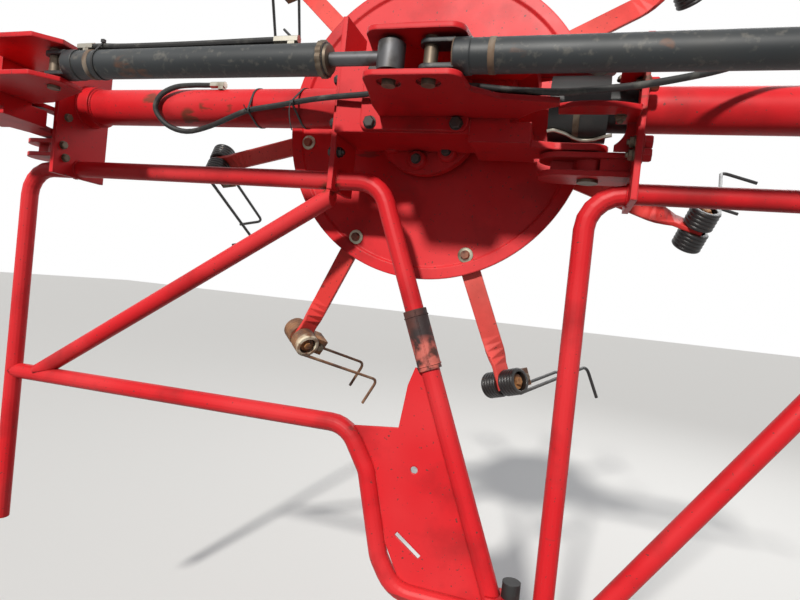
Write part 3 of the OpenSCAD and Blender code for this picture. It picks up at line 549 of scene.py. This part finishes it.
hose_stop = Shape()
hose_stop.lathe(STOP_PLACE, X, STOP_FITTING, HEX)
hose_stop.lathe(PORT_PLACE, Z, PORT, 16)
piece("hinge_hose_stop", hose_stop, "bright_steel", body="next_beam")

# Cable ties: the hose's centre at each tie of the beam, the ends of those ties, and the tie of the left barrel
BEAM_TIES = ((-399, -49, -20), (-276, -65, -8))
TIE_HEAD_OUT = HOSE_R + 3
TIE_TAILS = (
    [(-276, -76, -11), (-277, -81, -20), (-276, -82, -36), (-273, -80, -56), (-268, -76, -74)],
    [(-399, -58, -24), (-400, -66, -22), (-402, -72, -15)],
)
BARREL_TIE_X, BARREL_HOSE_Z, BARREL_HEAD = -620, 38, (-620, -268, 48)
beam_ties = Shape()
for x, y, z in BEAM_TIES:
    beam_ties.band(x, [(0, 0, BEAM_R), (y, z, HOSE_R)])
    beam_ties.tie_head(Vector((x, y, z)) + TIE_HEAD_OUT * Vector((0, y, z)).normalized())
for tail in TIE_TAILS:
    beam_ties.tube(smooth_path(tail, 4), TIE_TAIL_R, 4)
piece("beam_ties", beam_ties, "black_plastic", body="section")
barrel_ties = Shape()
barrel_ties.band(BARREL_TIE_X, [(CYLINDER_Y, 0, BARREL_R), (CYLINDER_Y, BARREL_HOSE_Z, HOSE_R)])
barrel_ties.tie_head(Vector(BARREL_HEAD))
piece("barrel_ties", barrel_ties, "black_plastic", body="barrel_left")

# Weld beads: their sizes at the guard tubes, the bracket and the hinge's arms, the collar on the beam, the height
# at which the guard tubes leave the outer flanges, and the faces and ends of the bracket's and the arms' seams
GUARD_BEAD, BRACKET_BEAD, HINGE_BEAD = 3.4, 3.5, 3.2
COLLAR_LENGTH, COLLAR_WALL = 38, 7
GUARD_END_Z = -176
BRACKET_FACES, BRACKET_SEAM_X, BRACKET_SEAM_Y = (44, 34, -34, -44), (-58, 132), -76
HINGE_FACES, HINGE_SEAM_X, HINGE_SEAM_Y = (44, -34), RIGHT_FACES[0] - 1, (-132, -62)
left_welds = Shape()
left_welds.weld((INNER_FACES[0], 0, 0), X, BEAM_R)
left_welds.weld((FAR_FACE + COLLAR_LENGTH, 0, 0), X, BEAM_R)
left_welds.weld((FAR_FACE, 0, 0), X, BEAM_R + COLLAR_WALL)
for x in (FAR_FACE, *INNER_FACES):
    left_welds.weld((x, GUARD_Y, GUARD_TOP_Z), X, GUARD_R, GUARD_BEAD)
left_welds.weld((FAR_FACE - FLANGE_T, GUARD_Y, GUARD_END_Z), X, GUARD_R, GUARD_BEAD)
for z in BRACKET_FACES:
    left_welds.seam(*((x, BRACKET_SEAM_Y, z) for x in BRACKET_SEAM_X), BRACKET_BEAD)
piece("welds_section", left_welds, "red_paint", body="section", sharp=WELD_SHARP)
right_welds = Shape()
for x in (RIGHT_FACES[1], END_FACE):
    right_welds.weld((x, 0, 0), X, BEAM_R)
    right_welds.weld((x, GUARD_Y, GUARD_TOP_Z), X, GUARD_R, GUARD_BEAD)
right_welds.weld((RIGHT_FACES[0], GUARD_Y, GUARD_END_Z), X, GUARD_R, GUARD_BEAD)
for z in HINGE_FACES:
    right_welds.seam(*((HINGE_SEAM_X, y, z) for y in HINGE_SEAM_Y), HINGE_BEAD)
piece("welds_next_beam", right_welds, "red_paint", body="next_beam", sharp=WELD_SHARP)


# Rotor: bolts of the disc and the arms
def arm_angle(i):
    return math.radians(ARM_START + 360 * i / ARM_COUNT)


DISC_BOLT_R, DISC_HEAD_Y = 329, DISC_Y - 2.5
DISC_WASHER = [(0, 18.5), (2.2, 18.5), (3.2, 17)]
disc_bolts, washers = Shape(), Shape()
for i in range(ARM_COUNT):
    angle = arm_angle(i)
    washers.lathe(about_y(DISC_Y, DISC_BOLT_R, angle), -Y, DISC_WASHER)
    disc_bolts.bolt(about_y(DISC_HEAD_Y, DISC_BOLT_R, angle), -Y, turn=0.4 + i, washer_r=0.6)
    disc_bolts.nut(about_y(DISC_Y + DISC_T + ARM_T, DISC_BOLT_R, angle), Y, turn=0.1 + i)
piece("disc_bolts", disc_bolts, "rusty_steel", HEADS, "rotor")
piece("disc_washers", washers, "bright_steel", ZINC, "rotor")

# Rotor: clamp bolts of the tines and cores of their coils, in each tine's own frame
COIL_INSET, CORE_HALF = 14, 42
CLAMP_HALF, CLAMP_BOLT_Z = 26, -52
CORE = [(0, 12), (1, 19), (3, 19), (3, 14), (81, 14), (81, 19), (83, 19), (84, 12)]
CORE_END = [(0, 11), (6, 11), (8, 9)]


def tine_frame(i):
    return (Matrix.Rotation(math.radians(90), 4, "X")
            @ Matrix.Rotation(arm_angle(i), 4, "Z")
            @ Matrix.Translation((ARM_END_R - COIL_INSET, 0, -DISC_Y - DISC_T - ARM_T / 2 - ARM_FALL))
            @ Matrix.Rotation(math.radians(COIL_LEAN), 4, "X"))


clamp_bolts, cores = Shape(), Shape()
for i in range(ARM_COUNT):
    hardware, core = Shape(), Shape()
    hardware.bolt((0, CLAMP_HALF, CLAMP_BOLT_Z), Y, M10)
    hardware.nut((0, -CLAMP_HALF, CLAMP_BOLT_Z), -Y, M10)
    core.lathe((0, -CORE_HALF, 0), Y, CORE, 24)
    for side in (1, -1):
        core.lathe((0, side * CORE_HALF, 0), side * Y, CORE_END, HEX)
    clamp_bolts.join(hardware, tine_frame(i))
    cores.join(core, tine_frame(i))
piece("clamp_bolts", clamp_bolts, "rusty_steel", DULL, "rotor")
piece("coil_cores", cores, "rusty_steel", body="rotor")

# Gearbox: the plate that carries the bracket with its bolts, the bosses of the casting with theirs, and the cap
PLATE, PLATE_CORNER, PLATE_Y, PLATE_T = (-104, -72, 132, 72), 16, -75, 9
PLATE_BOLTS_X, PLATE_BOLTS_Z = (-80, 108), (-57, 57)
BOSS_R, BOSS_Y, BOSS_HEAD_Y = 96, 76, 60
BOSS_ANGLES = (-97, -142, -52, 83, 38, 128)
BOSS = [(0, 24), (14, 21), (17, 18)]
CAP_X, CAP_Z, CAP_HEAD_Z = -15, 74, 88
CAP = [(0, 50), (8, 48), (11, 44), (11, 20), (15, 18)]
casting, casting_bolts = Shape(), Shape()
casting.prism(rounded(*PLATE, PLATE_CORNER), PLATE_Y, PLATE_T)
for x in PLATE_BOLTS_X:
    for z in PLATE_BOLTS_Z:
        casting_bolts.bolt((x, PLATE_Y - PLATE_T, z), -Y, M14, turn=0.2)
for angle in map(math.radians, BOSS_ANGLES):
    casting.lathe(about_y(BOSS_Y, BOSS_R, angle), -Y, BOSS, 24)
    casting_bolts.bolt(about_y(BOSS_HEAD_Y, BOSS_R, angle), -Y, turn=0.5)
casting.lathe((CAP_X, 0, CAP_Z), Z, CAP, 32)
casting_bolts.bolt((CAP_X, 0, CAP_HEAD_Z), Z, M16)
piece("gearbox_casting", casting, "red_paint", body="section")

# Bolts of the flanges: y and z of each; and a bolt and a nut on the arms of the hinge
INNER_BOLTS = ((-48, -48), (-48, 48), (48, -48), (48, 48), (-42, -112))
RIGHT_BOLTS = ((-78, -86), (-78, -110), (-78, 22))
FAR_BOLTS = ((-70, -50), (-68, -154), (-77, -123))
TALL_HEAD = 0.62
HINGE_BOLT, HINGE_NUT = (420, -40, 44), (420, -100, -44)
for y, z in INNER_BOLTS:
    casting_bolts.bolt((INNER_FACES[0], y, z), -X)
casting_bolts.nut((INNER_FACES[1], *INNER_BOLTS[-1]), X)
piece("section_bolts", casting_bolts, "bright_steel", DARK, "section")
red_bolts, right_nuts = Shape(), Shape()
for y, z in RIGHT_BOLTS:
    red_bolts.bolt((RIGHT_FACES[1], y, z), X, M16, turn=0.2, height=TALL_HEAD)
    right_nuts.nut((RIGHT_FACES[0], y, z), -X, turn=0.6)
piece("flange_bolts", red_bolts, "red_paint", body="next_beam")
right_nuts.bolt(HINGE_BOLT, Z, M10)
right_nuts.nut(HINGE_NUT, -Z, M10)
piece("flange_nuts", right_nuts, "bright_steel", DULL, "next_beam")
far_bolts = Shape()
for y, z in FAR_BOLTS:
    far_bolts.bolt((FAR_FACE, y, z), X, M10, turn=0.2)
piece("far_flange_bolts", far_bolts, "bright_steel", DULL, "section")

# Wire that holds the shaft guard
WIRE = [
    (287, -42, -57), (299, -44, -55.5), (311, -41, -57.5), (325, -36, -61), (339, -27, -65.5), (356, -20, -68),
    (376, -22, -67.5), (397, -32, -63.5), (411, -36, -61.5),
]
WIRE_R = 3.6
wire = Shape()
wire.tube(smooth_path(WIRE, 5), WIRE_R, 8)
piece("guard_wire", wire, "bright_steel", body="next_beam")

# Cylinders: weld bead, worn band and notched gland of each barrel; the first two by their distance from its pin
BEAD_AT, BAND_AT, GLAND_BACK = 44, 108, 12
BARREL_BEAD, BARREL_BEAD_PITCH = 3.0, 4
BAND_PROFILE = [(-6, BARREL_R - 0.5), (-5, BARREL_R + 1), (5, BARREL_R + 1), (6, BARREL_R - 0.5)]
GLAND = [(-1, 31), (0, 33), (10, 33), (11, 31), (12, 27), (17, 26), (18, 22)]
GLAND_STEPS, NOTCH_PITCH, NOTCH_DEPTH, NOTCH_FROM_R = 72, 6, 1.6, 30
for name, pin_x in (("barrel_left", LUG_PIN_X), ("barrel_right", BARREL_PIN_X)):
    beads, gland = Shape(), Shape()
    beads.weld((pin_x + BEAD_AT, CYLINDER_Y, 0), X, BARREL_R - 1, BARREL_BEAD, BARREL_BEAD_PITCH)
    beads.lathe((pin_x + BAND_AT, CYLINDER_Y, 0), X, BAND_PROFILE, 48, hollow=True)
    piece(name + "_beads", beads, "rusty_steel", BAND, name, sharp=WELD_SHARP)
    rings = []
    for h, r in GLAND:
        ring = []
        for k, a in enumerate(turns(GLAND_STEPS)):
            notch = NOTCH_DEPTH if k % NOTCH_PITCH in (0, 1) and r > NOTCH_FROM_R else 0
            ring.append(about_x(pin_x + BARREL_LEN - GLAND_BACK + h, CYLINDER_Y, r - notch, a))
        rings.append(ring)
    gland.skin(rings)
    piece(name + "_gland", gland, "bright_steel", DULL, name)

# Sleeve of the inner guard tube: beads round its ends and a seam along it, as shares of the tube's length
TUBE_TOP, TUBE_FOOT = Vector((-64, GUARD_Y, GUARD_TOP_Z)), Vector((286, GUARD_Y, -1060))
BEAD_SHARES, SEAM_SHARES = (0.325, 0.44), (0.312, 0.448)
SLEEVE_BEAD_R, SLEEVE_BEAD, SLEEVE_BEAD_PITCH = GUARD_R + 5.2, 1.6, 9
SEAM_R, SEAM_SIDE, SEAM_BEAD, SEAM_PITCH = GUARD_R + 4.5, 6, 2.0, 7
tube_dir = (TUBE_FOOT - TUBE_TOP).normalized()
seam_shift = Vector((0, -SEAM_R, 0)) + SEAM_SIDE * Vector((-tube_dir.z, 0, tube_dir.x))
sleeve_beads = Shape()
for share in BEAD_SHARES:
    sleeve_beads.weld(TUBE_TOP.lerp(TUBE_FOOT, share), tube_dir, SLEEVE_BEAD_R, SLEEVE_BEAD, SLEEVE_BEAD_PITCH)
seam_ends = [TUBE_TOP.lerp(TUBE_FOOT, share) + seam_shift for share in SEAM_SHARES]
sleeve_beads.seam(*seam_ends, SEAM_BEAD, SEAM_PITCH)
piece("sleeve_beads", sleeve_beads, "rusty_steel", SLEEVE, "section", sharp=WELD_SHARP)

# Wheel: a tyre with ribs and lugs in place of the plain one. Rows of the sidewall are x and radius; those of the
# tread are x, radius and the share of a notch's depth there. The notches of its two sides are staggered
HALF_RIM, SEAT_R = 48, 92
SIDEWALL = [
    (-HALF_RIM, SEAT_R), (-HALF_RIM, SEAT_R - 8), (-54, SEAT_R - 6), (-59.5, SEAT_R + 14), (-57, 118), (-59, 124),
    (-59, 134), (-60, 141), (-56, 150),
]
TREAD = [
    (-48, 157, 0.0), (-40, 160.5, 1.0), (-31, 163.5, 1.0), (-30, 158, 0.0), (-25, 158, 0.0), (-24, 164.6, 0.4),
    (-12, 165, 0.4), (-11, 159, 0.0), (-6, 159, 0.0), (-5, 165, 0.0),
]
TREAD_STEPS, LUG_PITCH, LUG_STAGGER, LUG_DEPTH = 180, 5, 2, 6.0
TYRE_SHARP = 28
left_half = [(x, r, 0.0) for x, r in SIDEWALL] + TREAD
tyre_profile = left_half + [(-x, r, share) for x, r, share in reversed(left_half)]
tyre, tyre_rings = Shape(), []
for k, a in enumerate(turns(TREAD_STEPS)):
    ring = []
    for x, r, share in tyre_profile:
        stagger = LUG_STAGGER if x > 0 else 0
        notch = LUG_DEPTH * share if (k + stagger) % LUG_PITCH == 0 else 0.0
        ring.append(about_x(x, AXLE_Y, r - notch, a))
    tyre_rings.append(ring)
tyre.skin(tyre_rings, closed=True)
tyre_piece = piece("tread_tyre", tyre, "tyre", body="wheel", sharp=TYRE_SHARP)
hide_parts("tyre")

# Wheel: its nuts and valve, then the nuts of the axle and the bolts of the leg
WHEEL_BOLTS, WHEEL_BOLT_R, DISH_FACE = 5, 55, 4
VALVE_R, VALVE = 4, [(-4, AXLE_Y - 74, 0), (-20, AXLE_Y - 73, 0), (-34, AXLE_Y - 71, 0)]
AXLE_CAP_X, AXLE_CAP = -66, [(-2, 15), (0, 18), (8, 18), (10, 16)]
LEG_FACE, AXLE_NUT, LEG_BOLTS = 85, 30, ((240, 18), (240, -18))
wheel_nuts = Shape()
for a in turns(WHEEL_BOLTS):
    wheel_nuts.nut(about_x(DISH_FACE, AXLE_Y, WHEEL_BOLT_R, a), X)
    wheel_nuts.bolt(about_x(-DISH_FACE, AXLE_Y, WHEEL_BOLT_R, a), -X)
wheel_nuts.tube([Vector(p) for p in VALVE], VALVE_R)
piece("wheel_nuts", wheel_nuts, "bright_steel", body="wheel")
axle_nut = Shape()
axle_nut.lathe((AXLE_CAP_X, AXLE_Y, 0), X, AXLE_CAP, HEX)
axle_nut.nut((LEG_FACE, AXLE_Y, 0), X, AXLE_NUT)
for y, z in LEG_BOLTS:
    axle_nut.bolt((LEG_FACE, y, z), X, M10)
piece("axle_nut", axle_nut, "bright_steel", DULL, "section")

# Floor and sky: both look pale to the camera and in reflections, and give less light back than they show
FLOOR_Z, FLOOR_HALF, FLOOR_ROUGH = -1.62, 30, 0.9
FLOOR_SEEN, FLOOR_GIVES = (0.8, 0.8, 0.79), (0.07, 0.07, 0.068)
SKY_SEEN, SKY_GIVES = (1, 1, 1), (0.13, 0.135, 0.15)


def seen(tree):
    """1 for camera, glossy and transmission rays, 0 for the rest."""
    rays = tree.nodes.new("ShaderNodeLightPath")
    total = rays.outputs["Is Camera Ray"]
    for name in ("Is Glossy Ray", "Is Transmission Ray"):
        node = tree.nodes.new("ShaderNodeMath")
        node.operation = "MAXIMUM"
        tree.links.new(total, node.inputs[0])
        tree.links.new(rays.outputs[name], node.inputs[1])
        total = node.outputs[0]
    return total


floor_mesh = bpy.data.meshes.new("floor")
floor_mesh.from_pydata([(x * FLOOR_HALF, y * FLOOR_HALF, FLOOR_Z) for x, y in ((-1, -1), (1, -1), (1, 1), (-1, 1))],
                       [], [(0, 1, 2, 3)])
floor = add_object("floor", floor_mesh)
matt = Nodes("floor")
matt.colour(matt.mix(seen(matt.tree), FLOOR_GIVES, FLOOR_SEEN))
matt.bsdf.inputs["Roughness"].default_value = FLOOR_ROUGH
dress(floor, matt.mat)

world = bpy.data.worlds.new("world")
world.use_nodes = True
bpy.context.scene.world = world
sky = world.node_tree
mix = sky.nodes.new("ShaderNodeMix")
mix.data_type = "RGBA"
mix.inputs[MIX_FIRST].default_value = (*SKY_GIVES, 1)
mix.inputs[MIX_SECOND].default_value = (*SKY_SEEN, 1)
sky.links.new(seen(sky), mix.inputs[MIX_FACTOR])
sky.links.new(mix.outputs[MIX_RESULT], sky.nodes["Background"].inputs["Color"])


def light(kind, name, place, target, power, colour, **settings):
    """A light at a place, turned to its target."""
    data = bpy.data.lights.new(name, kind)
    data.energy = power
    data.color = colour
    for key, value in settings.items():
        setattr(data, key, value)
    obj = add_object(name, data)
    obj.location = place
    obj.rotation_euler = (Vector(target) - Vector(place)).to_track_quat("-Z", "Y").to_euler()


light("SUN", "key", place=(-1.6, -4.2, 2.2), target=(-1.2, 0, -0.3), power=3.7, colour=(1, 0.97, 0.92), angle=0.07)
light("AREA", "fill", place=(1.8, -3.0, 1.0), target=(-1.0, 0, -0.3), power=11, colour=(1, 1, 1), size=2.5)
light("AREA", "back", place=(0.5, 3.5, 2.5), target=(-1.2, 0, 0), power=80, colour=(1, 1, 1), size=2.5)

bpy.context.scene.view_settings.view_transform = "Standard"
